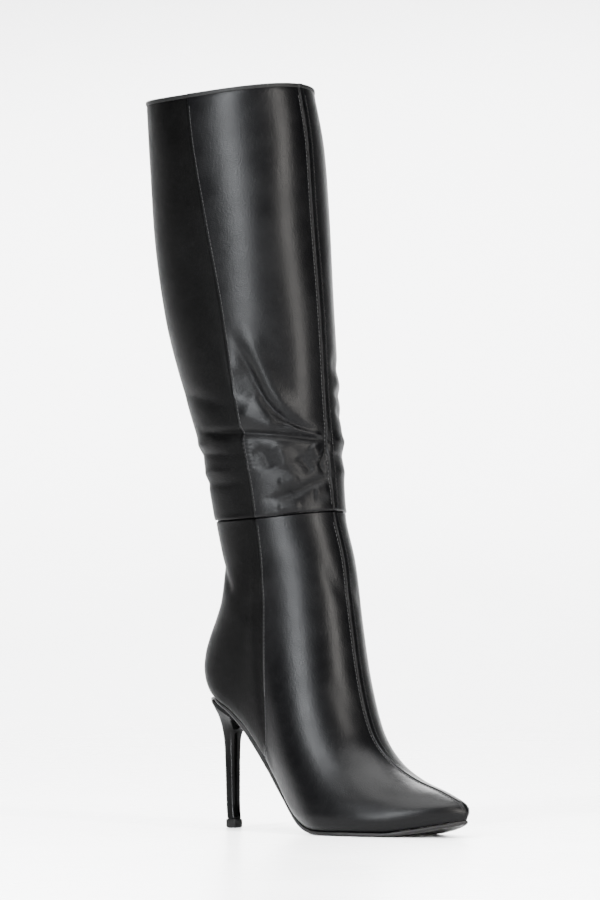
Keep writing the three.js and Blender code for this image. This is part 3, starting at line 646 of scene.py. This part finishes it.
# Each line of the fold: how far it lies off its face of the wall, and how far over the top edge.
fold_outside = [(0.10, -1.3), (0.42, -1.2), (0.55, -0.6), (0.55, 0.6), (0.35, 1.3), (-0.3, 1.7)]
fold_inside = [(0.3, 1.75), (-0.35, 1.3), (-0.55, 0.6), (-0.55, -0.6), (-0.42, -1.2), (-0.10, -1.3)]
binding_loops = []
for face, fold_line in ((leather_face, fold_outside), (lining_face, fold_inside)):
    for off, up in fold_line:
        loop = skin_off(collar_level, collar_turn, face + off)[0]
        binding_loops.append(loop + np.array([0, 0, up]))
binding_faces = []
around = collar_turn.size
for i in range(len(binding_loops)):
    for j in range(around):
        low, high = i * around, (i + 1) % len(binding_loops) * around
        binding_faces.append((low + j, low + (j + 1) % around, high + (j + 1) % around, high + j))
binding = mesh_piece("collar_binding_tape", np.concatenate(binding_loops), binding_faces, 60)
edge_leather = smooth_leather(
    "edge_leather", dark=(0.003, 0.003, 0.003, 1), light=(0.004, 0.004, 0.004, 1),
    polished=0.4, dull=0.5, shine=0.06)
binding.data.materials.append(edge_leather)
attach(binding, "boot")
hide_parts("collar_binding")

# Outsole: thin moulded sole from heel seat to toe, arched at the waist and flat under the ball,
# with a rounded edge that shows as a thin line all round. Cemented under the lasted upper.
SOLE_EDGE = [  # offset from the upper's lower edge, and share of the sole's thickness
    (-8.0, 0.04),
    (-2.0, 0.0),
    (-0.5, 0.02),
    (0.2, 0.14),
    (0.6, 0.34),
    (0.7, 0.6),
    (0.6, 0.85),
    (0.2, 0.98),
    (-0.4, 1.0),
    (-6.0, 1.0),
]
sole_half = np.linspace(0, math.pi, 150)
sole_turn = np.concatenate([sole_half, 2 * math.pi - sole_half[-2:0:-1]])[None, :]


def through_loops(name, loops):
    """A closed mesh through loops of points in mm, each from the back by one side to the front and on."""
    count = loops[0].shape[0]
    half = count // 2
    last = (len(loops) - 1) * count
    faces = []
    for i in range(len(loops) - 1):
        for j in range(count):
            a, b = i * count + j, i * count + (j + 1) % count
            faces.append((a, b, b + count, a + count))
    for start, flip in ((0, -1), (last, 1)):
        faces.append((start, start + 1, start + count - 1)[::flip])
        faces.append((start + half - 1, start + half, start + half + 1)[::flip])
        for j in range(1, half - 1):
            faces.append((start + j, start + j + 1, start + count - j - 1, start + count - j)[::flip])
    return mesh_piece(name, np.concatenate(loops), faces, 35)


def sole_loop(offset, share):
    """The upper's lower edge moved out by an offset, at a share of the sole's thickness."""
    ground = np.zeros_like(sole_turn)
    loop = skin_off(ground, sole_turn, ground + offset)[0]
    low = SOLE("bottom", loop[:, 0])
    high = feather_z(loop[:, 0]) - FEATHER_GAP
    loop[:, 2] = low + (high - low) * share
    return loop


outsole = through_loops("outsole_moulded", [sole_loop(*edge) for edge in SOLE_EDGE])
sole_rubber = Finish("sole_rubber", Specular_IOR_Level=0.08)
rubber_dust = sole_rubber.noise(90, 4, 0.6)
rubber_grit = sole_rubber.noise(1400, 3, 0.7)
rubber_scuff = sole_rubber.noise(30, 5, 0.65, (1, 5, 5))
sole_rubber.set(
    Base_Color=sole_rubber.blend(
        sole_rubber.spread(rubber_dust * 0.6 + rubber_scuff * 0.4, 0.42, 0.66),
        (0.003, 0.003, 0.003, 1), (0.008, 0.0075, 0.0075, 1)),
    Roughness=sole_rubber.spread(rubber_dust, 0.3, 0.7, 0.42, 0.62),
    Normal=sole_rubber.bump(rubber_grit * 0.6 + rubber_scuff * 0.4, 0.25, 0.0003),
)
outsole.data.materials.append(sole_rubber.material)
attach(outsole, "boot")
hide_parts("outsole")

# Heel: slim moulded heel with a glossy black lacquer, hollowed towards the front under the seat.
# Glued and nailed under the outsole's back end, so its top follows the sole.
HEEL = Rows("level backX backZ frontX frontZ half square", [
    [0, -5.3, 6.4, 3.9, 6.4, 4.3, 2.5],
    [1, -6.2, 17, 3.1, 17, 4.4, 2.4],
    [2, -7.0, 40, 3.0, 40, 4.8, 2.3],
    [3, -7.8, 58, 3.3, 58, 5.4, 2.2],
    [4, -9.0, 68, 4.6, 66.5, 6.8, 2.2],
    [5, -9.7, 74.5, 8.4, 69.5, 9.6, 2.2],
    [6, -10.3, 80.5, 14.5, 71.0, 13.8, 2.2],
    [7, -10.8, 86.0, 21.5, 71.4, 18.4, 2.4],
    [8, -11.2, 91.4, 28.0, 70.5, 22.2, 2.8],
])
HEEL_GAP = 0.3  # under the sole
SEAT_STEP = 0.35  # least drop from one level to the next under the seat
HEEL_TOP = 8
HEEL_EDGE = [(0, 0.5), (0.03, 0.12)]  # levels and insets of the rounded lower edge
heel_turn = np.linspace(0, 2 * math.pi, 96, endpoint=False)
heel_loops = []
for heel_level, heel_inset in [*HEEL_EDGE, *((level, 0) for level in np.linspace(0.07, HEEL_TOP, 76))]:
    corner = 2 / HEEL("square", heel_level)
    along = -np.sign(np.cos(heel_turn)) * np.abs(np.cos(heel_turn)) ** corner
    across = -np.sign(np.sin(heel_turn)) * np.abs(np.sin(heel_turn)) ** corner
    heel_share = (1 + along) / 2
    heel_back = HEEL("backX", heel_level) + heel_inset
    heel_front = HEEL("frontX", heel_level) - heel_inset
    heel_x = heel_back + (heel_front - heel_back) * heel_share
    heel_rise = HEEL("frontZ", heel_level) - HEEL("backZ", heel_level)
    flat_z = HEEL("backZ", heel_level) + heel_rise * heel_share
    seat_z = SOLE("bottom", heel_x) - HEEL_GAP
    if heel_level < HEEL_TOP:
        heel_z = np.minimum(flat_z, seat_z - (HEEL_TOP - heel_level) * SEAT_STEP)
    else:
        heel_z = seat_z
    heel_y = across * (HEEL("half", heel_level) - heel_inset)
    heel_loops.append(np.stack([heel_x, heel_y, heel_z], axis=-1))
heel = through_loops("heel_lacquered", heel_loops)
# All its gloss is the lacquer's thin coat.
lacquer = Finish("heel_lacquer", Coat_Roughness=0.13, Specular_IOR_Level=0.0)
lacquer_wave = lacquer.noise(45, 2, 0.5)
lacquer_specks = lacquer.noise(700, 3, 0.6)
lacquer.set(
    Base_Color=lacquer.blend(
        lacquer.spread(lacquer_specks, 0.4, 0.7), (0.0005, 0.0005, 0.0005, 1), (0.0012, 0.0012, 0.0012, 1)),
    Roughness=lacquer.spread(lacquer_wave, 0.3, 0.7, 0.18, 0.28),
    Coat_Weight=lacquer.spread(lacquer_wave * 0.7 + lacquer_specks * 0.3, 0.3, 0.7, 0.06, 0.11),
)
heel.data.materials.append(lacquer.material)
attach(heel, "boot")
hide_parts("heel")

# Top lift: small block of hard rubber, moulded with rounded edges and pinned under the heel.
# It is worn a little round its lower edge.
LIFT_WEAR = 0.05  # share worn away at the lower edge
LIFT_WORN = 0.25  # share of the height that is worn
lift_middle = (np.array(lift_low) + np.array(lift_high)) / 2
lift_size = np.array(lift_high) - np.array(lift_low)
bpy.ops.mesh.primitive_cube_add(size=1, location=lift_middle.tolist())
lift = bpy.context.object
lift.name = "top_lift_rubber"
lift.scale = lift_size.tolist()
bpy.ops.object.transform_apply(location=True, rotation=True, scale=True)
lift_bevel = lift.modifiers.new("corners", "BEVEL")
lift_bevel.width = 1.4 * MM
lift_bevel.segments = 5
lift_bevel.limit_method = "ANGLE"
bpy.ops.object.modifier_apply(modifier="corners")
for lift_vertex in lift.data.vertices:
    lift_up = (lift_vertex.co.z - lift_low[2]) / lift_size[2]
    worn = 1 - LIFT_WEAR * max(LIFT_WORN - lift_up, 0) / LIFT_WORN
    lift_vertex.co.x = lift_middle[0] + (lift_vertex.co.x - lift_middle[0]) * worn
    lift_vertex.co.y = lift_middle[1] + (lift_vertex.co.y - lift_middle[1]) * worn
bpy.ops.object.shade_smooth_by_angle(angle=math.radians(35))
lift_rubber = Finish("lift_rubber", Specular_IOR_Level=0.08)
lift_grit = lift_rubber.noise(900, 4, 0.7)
lift_lines = lift_rubber.noise(120, 3, 0.6, (1, 1, 8))
lift_rubber.set(
    Base_Color=lift_rubber.blend(
        lift_rubber.spread(lift_lines, 0.4, 0.7), (0.0015, 0.0015, 0.0015, 1), (0.0045, 0.0045, 0.0042, 1)),
    Roughness=lift_rubber.spread(lift_grit, 0.3, 0.7, 0.5, 0.75),
    Normal=lift_rubber.bump(lift_grit * 0.5 + lift_lines * 0.5, 0.35, 0.0003),
)
lift.data.materials.append(lift_rubber.material)
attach(lift, "boot")
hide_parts("top_lift")

# Insole: lining board covered in a soft dark sock, laid on the lasted upper's floor.
# The CAD solid shows, in the sock's own finish.
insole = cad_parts["insole"]
sock = Finish("insole_sock", Sheen_Weight=0.25, Sheen_Roughness=0.5)
sock_fibre = sock.noise(1800, 3, 0.7)
sock_wear = sock.noise(22, 4, 0.6)
sock.set(
    Base_Color=sock.blend(
        sock.spread(sock_wear, 0.35, 0.7), (0.030, 0.027, 0.025, 1), (0.062, 0.057, 0.052, 1)),
    Roughness=sock.spread(sock_wear, 0.3, 0.7, 0.7, 0.9),
    Normal=sock.bump(sock_fibre, 0.4, 0.0003),
)
for insole_slot in insole.material_slots:
    insole_slot.material = sock.material

# Zip tapes: woven polyester behind the leather edges, one each side, sewn into the wall.
# The CAD solids show, with a fine ribbed weave.
tape_cloth = Finish("zip_tape_cloth", Specular_IOR_Level=0.1, Sheen_Weight=0.02, Sheen_Roughness=0.4)
tape_ribs = tape_cloth.noise(900, 2, 0.5, (1, 1, 0.15))
tape_weft = tape_cloth.node(
    "ShaderNodeTexWave", {"wave_type": "BANDS", "bands_direction": "Z"},
    {"Vector": tape_cloth.place(), "Scale": 420.0, "Distortion": 0.6}, "Fac")
tape_cloth.set(
    Base_Color=tape_cloth.blend(
        tape_cloth.spread(tape_ribs, 0.3, 0.7), (0.0015, 0.0015, 0.0017, 1), (0.0045, 0.0045, 0.0048, 1)),
    Roughness=tape_cloth.spread(tape_ribs, 0.3, 0.7, 0.75, 0.92),
    Normal=tape_cloth.bump(tape_ribs * 0.4 + tape_weft * 0.6, 0.5, 0.0002),
)
for tape_name in ("zip_tape_front", "zip_tape_back"):
    for tape_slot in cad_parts[tape_name].material_slots:
        tape_slot.material = tape_cloth.material

# Zip chain: nylon coil sewn to the inner edges of the two tapes, its turns locked side by side.
# One turn is shaped once, as a bent round wire, and set along the chain's line.
COIL_STEP = 1.35
COIL_WIRE = 0.34
COIL_ENDS = 0.008  # levels left free at the slot's ends
TAPE_DEPTH = Rows("level depth", [  # of the tapes' outer face under the skin, most where walls overlap
    [0.00, 2.0],
    [0.90, 2.0],
    [0.97, 3.2],
    [1.05, 3.2],
    [1.12, 1.3],
    [2.00, 1.3],
])


def length_along(points):
    """The length of a line up to each of its points."""
    return np.concatenate([[0], np.cumsum(np.linalg.norm(np.diff(points, axis=0), axis=1))])


def zip_line(step_mm):
    """Points at even steps up the zip's middle line, and the ways out, sideways and up there."""
    level = np.linspace(ZIP_FROM + COIL_ENDS, ZIP_TO - COIL_ENDS, 900)
    middle = 2 * math.pi - turn_at_x(level, SIDE_LINES("zipX", level))
    base = skin_off(level, middle, -TAPE_DEPTH("depth", level))
    way = length_along(base)
    at = np.interp(np.arange(0, way[-1], step_mm), way, level)
    turn = 2 * math.pi - turn_at_x(at, SIDE_LINES("zipX", at))
    points = skin_off(at, turn, -TAPE_DEPTH("depth", at))
    out = outward(at, turn)
    up = np.gradient(points, axis=0)
    up /= np.linalg.norm(up, axis=1, keepdims=True)
    side = np.cross(up, out)
    side /= np.linalg.norm(side, axis=1, keepdims=True)
    return points, np.cross(side, up), side, up


def tube_shape(path, radius, sides):
    """Vertices and quads of a round wire along a path, with flat end caps."""
    path = np.asarray(path, dtype=float)
    along = np.gradient(path, axis=0)
    along /= np.linalg.norm(along, axis=1, keepdims=True)
    rings = []
    for point, way in zip(path, along):
        first = np.cross(way, [0.1, 0.2, 1.0])
        first /= np.linalg.norm(first)
        second = np.cross(way, first)
        around = np.linspace(0, 2 * math.pi, sides, endpoint=False)[:, None]
        rings.append(point + radius * (np.cos(around) * first + np.sin(around) * second))
    faces = []
    for i in range(len(path) - 1):
        for j in range(sides):
            a, b = i * sides + j, i * sides + (j + 1) % sides
            faces.append((a, b, b + sides, a + sides))
    faces.append(tuple(range(sides))[::-1])
    faces.append(tuple(range((len(path) - 1) * sides, len(path) * sides)))
    return np.concatenate(rings), faces


def repeat_shape(shape, places):
    """Copies of one shape set into frames given as (origin, three directions), in one mesh."""
    vertices, faces = shape
    points, all_faces = [], []
    for index, (origin, first, second, third) in enumerate(places):
        points.append(origin + vertices @ np.array([first, second, third]))
        all_faces.extend(tuple(v + index * len(vertices) for v in face) for face in faces)
    return np.concatenate(points), all_faces


coil_path = [
    (-2.7, 0.45, -0.2), (-2.3, 0.95, -0.12), (-1.2, 1.22, 0.0), (-0.2, 1.2, 0.12),
    (0.35, 0.95, 0.2), (0.3, 0.6, 0.28), (-0.4, 0.42, 0.36), (-1.8, 0.4, 0.42), (-2.7, 0.42, 0.48),
]
coil_turn = tube_shape(coil_path, COIL_WIRE, 7)
zip_points, zip_out, zip_side, zip_up = zip_line(COIL_STEP)
coil_places = []
for point, out, side, up in zip(zip_points, zip_out, zip_side, zip_up):
    coil_places.append((point, side, out, up))
    coil_places.append((point + up * COIL_STEP / 2, -side, out, up))
coil = mesh_piece("zip_coil", *repeat_shape(coil_turn, coil_places), 60)
nylon = Finish("coil_nylon", Specular_IOR_Level=0.16)
nylon_shade = nylon.noise(300, 2, 0.5)
nylon.set(
    Base_Color=nylon.blend(
        nylon.spread(nylon_shade, 0.3, 0.7), (0.0015, 0.0015, 0.0017, 1), (0.0040, 0.0040, 0.0043, 1)),
    Roughness=nylon.spread(nylon_shade, 0.3, 0.7, 0.32, 0.48),
    Normal=nylon.bump(nylon.noise(2200, 2, 0.5), 0.15, 0.0001),
)
coil.data.materials.append(nylon.material)
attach(coil, "boot")
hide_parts("zip_chain")

# Zip slider and pull: die-cast, black-plated, with tumbled round edges. The tab hangs from the
# slider's arch by its eye and swings about it.
black_plate = Finish("black_plate", Metallic=0.9)
plate_cloud = black_plate.noise(120, 3, 0.6)
plate_scratch = black_plate.noise(500, 3, 0.6, (6, 6, 0.6))
black_plate.set(
    Base_Color=black_plate.blend(
        black_plate.spread(plate_cloud, 0.35, 0.7), (0.018, 0.018, 0.020, 1), (0.045, 0.045, 0.049, 1)),
    Roughness=black_plate.spread(plate_cloud, 0.3, 0.7, 0.24, 0.4),
    Normal=black_plate.bump(plate_scratch, 0.12, 0.0001),
)
for node_name, piece_name, body in (
    ("zip_slider", "slider_cast", "boot"),
    ("zip_pull", "pull_cast", "pull_tab"),
):
    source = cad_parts[node_name]
    cast = bpy.data.objects.new(piece_name, source.data.copy())
    bpy.context.collection.objects.link(cast)
    cast.data.transform(source.matrix_world)
    cast.data.materials.clear()
    select_only(cast)
    bpy.ops.object.mode_set(mode="EDIT")
    bpy.ops.mesh.select_all(action="SELECT")
    bpy.ops.mesh.remove_doubles(threshold=1e-6)
    bpy.ops.mesh.dissolve_limited(angle_limit=math.radians(2))
    bpy.ops.mesh.normals_make_consistent(inside=False)
    bpy.ops.object.mode_set(mode="OBJECT")
    tumbled = cast.modifiers.new("tumbled", "BEVEL")
    tumbled.width = 0.25 * MM
    tumbled.segments = 3
    tumbled.limit_method = "ANGLE"
    tumbled.angle_limit = math.radians(35)
    bpy.ops.object.modifier_apply(modifier="tumbled")
    bpy.ops.object.shade_smooth_by_angle(angle=math.radians(40))
    cast.data.materials.append(black_plate.material)
    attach(cast, body)
    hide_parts(node_name)

# Stitching: bonded black thread beside each turned edge, about nine stitches to the inch, each
# one a short rounded bar sunk a little in the leather.
STITCH = 2.1
STITCH_GAP = 0.65
THREAD = 0.24
BESIDE_SEAM = 1.7  # from each edge to its row
BESIDE_STRIP = 1.3
BESIDE_ZIP = 1.5


def stitch_row(level, turn, offset):
    """Frames for stitches at even steps along a line on the pressed skin."""
    base = skin_off(level, turn, offset + press(level, turn))
    way = length_along(base)
    middles = np.arange(STITCH, way[-1] - STITCH, STITCH + STITCH_GAP)
    places = []
    for middle in middles:
        ends = []
        for at in (middle - STITCH / 2, middle + STITCH / 2):
            ends.append([np.interp(at, way, base[:, axis]) for axis in range(3)])
        first, second = np.array(ends[0]), np.array(ends[1])
        along = second - first
        along /= np.linalg.norm(along)
        out = outward(np.interp(middle, way, level), np.interp(middle, way, turn))
        out = out - along * (out @ along)
        out /= np.linalg.norm(out)
        places.append(((first + second) / 2, along, np.cross(out, along), out))
    return places


half_stitch = STITCH / 2
stitch_path = [
    (-half_stitch, 0, -0.3), (-half_stitch * 0.8, 0, 0.02), (-half_stitch * 0.4, 0, 0.1),
    (half_stitch * 0.4, 0, 0.1), (half_stitch * 0.8, 0, 0.02), (half_stitch, 0, -0.3),
]
stitch_shape = tube_shape(stitch_path, THREAD, 6)
up_line = np.concatenate([np.linspace(0.06, 0.985, 500), np.linspace(1.012, 1.985, 600)])
on_foot = up_line < 1
seam_turn = turn_at_x(up_line, SIDE_LINES("seamX", up_line))
zip_turn = 2 * math.pi - turn_at_x(up_line, SIDE_LINES("zipX", up_line))
strip_turn = turn_at_half(up_line, FRONT_SEAM_WIDTH / 2)
back_step = np.where(on_foot, 0, SHAFT_STEP)
front_step = PANEL_STEP + back_step
stitches = []
for part in (on_foot, ~on_foot):
    level = up_line[part]
    rows = [
        (seam_turn, BESIDE_SEAM, front_step),
        (strip_turn, -BESIDE_STRIP, front_step),
        (2 * math.pi - strip_turn, BESIDE_STRIP, front_step),
        (zip_turn, -(ZIP_SLOT / 2 + BESIDE_ZIP), front_step),
        (zip_turn, ZIP_SLOT / 2 + BESIDE_ZIP, back_step),
    ]
    for turn, shift, step in rows:
        at = turn[part] + shift * turn_per_mm(level, turn[part])
        stitches += stitch_row(level, at, step[part])
thread = mesh_piece("stitching", *repeat_shape(stitch_shape, stitches), 60)
thread_finish = Finish("bonded_thread", Specular_IOR_Level=0.12)
thread_twist = thread_finish.noise(1800, 2, 0.5)
thread_finish.set(
    Base_Color=thread_finish.blend(
        thread_finish.spread(thread_twist, 0.3, 0.7), (0.003, 0.003, 0.003, 1), (0.010, 0.010, 0.010, 1)),
    Roughness=thread_finish.spread(thread_twist, 0.3, 0.7, 0.4, 0.6),
    Normal=thread_finish.bump(thread_twist, 0.4, 0.0002),
)
thread.data.materials.append(thread_finish.material)
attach(thread, "boot")

# Studio: a pale floor that curves up into the backdrop, with large soft lights round the boot.
# The floor has a faint sheen, so the sole and heel are seen in it.
VIEW_TURN = math.radians(42)  # the camera's turn round the boot, from its outer side
SWEEP_FROM = 2.2
SWEEP_CURVE = 0.35
SWEEP_TOP = 6.0
bpy.ops.mesh.primitive_grid_add(x_subdivisions=60, y_subdivisions=60, size=16, location=(0, 0, 0))
floor = bpy.context.object
floor.name = "studio_floor"
for vertex in floor.data.vertices:
    behind = -vertex.co.x * math.sin(VIEW_TURN) + vertex.co.y * math.cos(VIEW_TURN)
    away = max(behind - SWEEP_FROM, 0)
    vertex.co.z = min(away * away * SWEEP_CURVE, SWEEP_TOP)
bpy.ops.object.shade_smooth()
paper = Finish("studio_paper", Specular_IOR_Level=0.35)
paper_tone = paper.noise(6, 2, 0.5)
paper.set(
    Base_Color=paper.blend(paper_tone, (0.88, 0.88, 0.885, 1), (0.90, 0.90, 0.905, 1)),
    Roughness=paper.spread(paper_tone, 0.3, 0.7, 0.24, 0.30),
    Normal=paper.bump(paper.noise(400, 2, 0.5), 0.02, 0.0002),
)
floor.data.materials.append(paper.material)

CAMERA = (1.890, -2.171, 0.150)
AIM = (-0.012, 0.008, 0.262)
LIGHTS_AIM = (0, 0, 0.22)
camera_data = bpy.data.cameras.new("camera")
camera_data.lens = 168
camera = bpy.data.objects.new("camera", camera_data)
bpy.context.collection.objects.link(camera)


def aim_from(thing, place, target):
    """Sets a camera or a light at a place and points it at the target."""
    thing.location = place
    way = Vector(target) - Vector(place)
    thing.rotation_euler = way.to_track_quat("-Z", "Y").to_euler()


aim_from(camera, CAMERA, AIM)
bpy.context.scene.camera = camera
for name, place, size, power, tint in (
    ("soft_left", (0.35, -2.5, 1.0), (0.30, 2.2), 430, (0.94, 0.97, 1.0)),
    ("soft_right", (2.7, -0.5, 1.0), (0.24, 2.2), 290, (1.0, 0.97, 0.93)),
    ("soft_top", (0.2, -0.3, 3.2), (3.0, 3.0), 620, (1, 1, 1)),
    ("soft_back", (-2.4, 2.2, 2.6), (3.0, 2.0), 480, (1, 1, 1)),
):
    light_data = bpy.data.lights.new(name, "AREA")
    light_data.shape = "RECTANGLE"
    light_data.size, light_data.size_y = size
    light_data.energy = power
    light_data.color = tint
    light = bpy.data.objects.new(name, light_data)
    bpy.context.collection.objects.link(light)
    aim_from(light, place, LIGHTS_AIM)
world = bpy.data.worlds.new("studio_air")
bpy.context.scene.world = world
world.use_nodes = True
air = world.node_tree.nodes["Background"]
air.inputs["Color"].default_value = (0.96, 0.97, 1.0, 1)
air.inputs["Strength"].default_value = 0.08
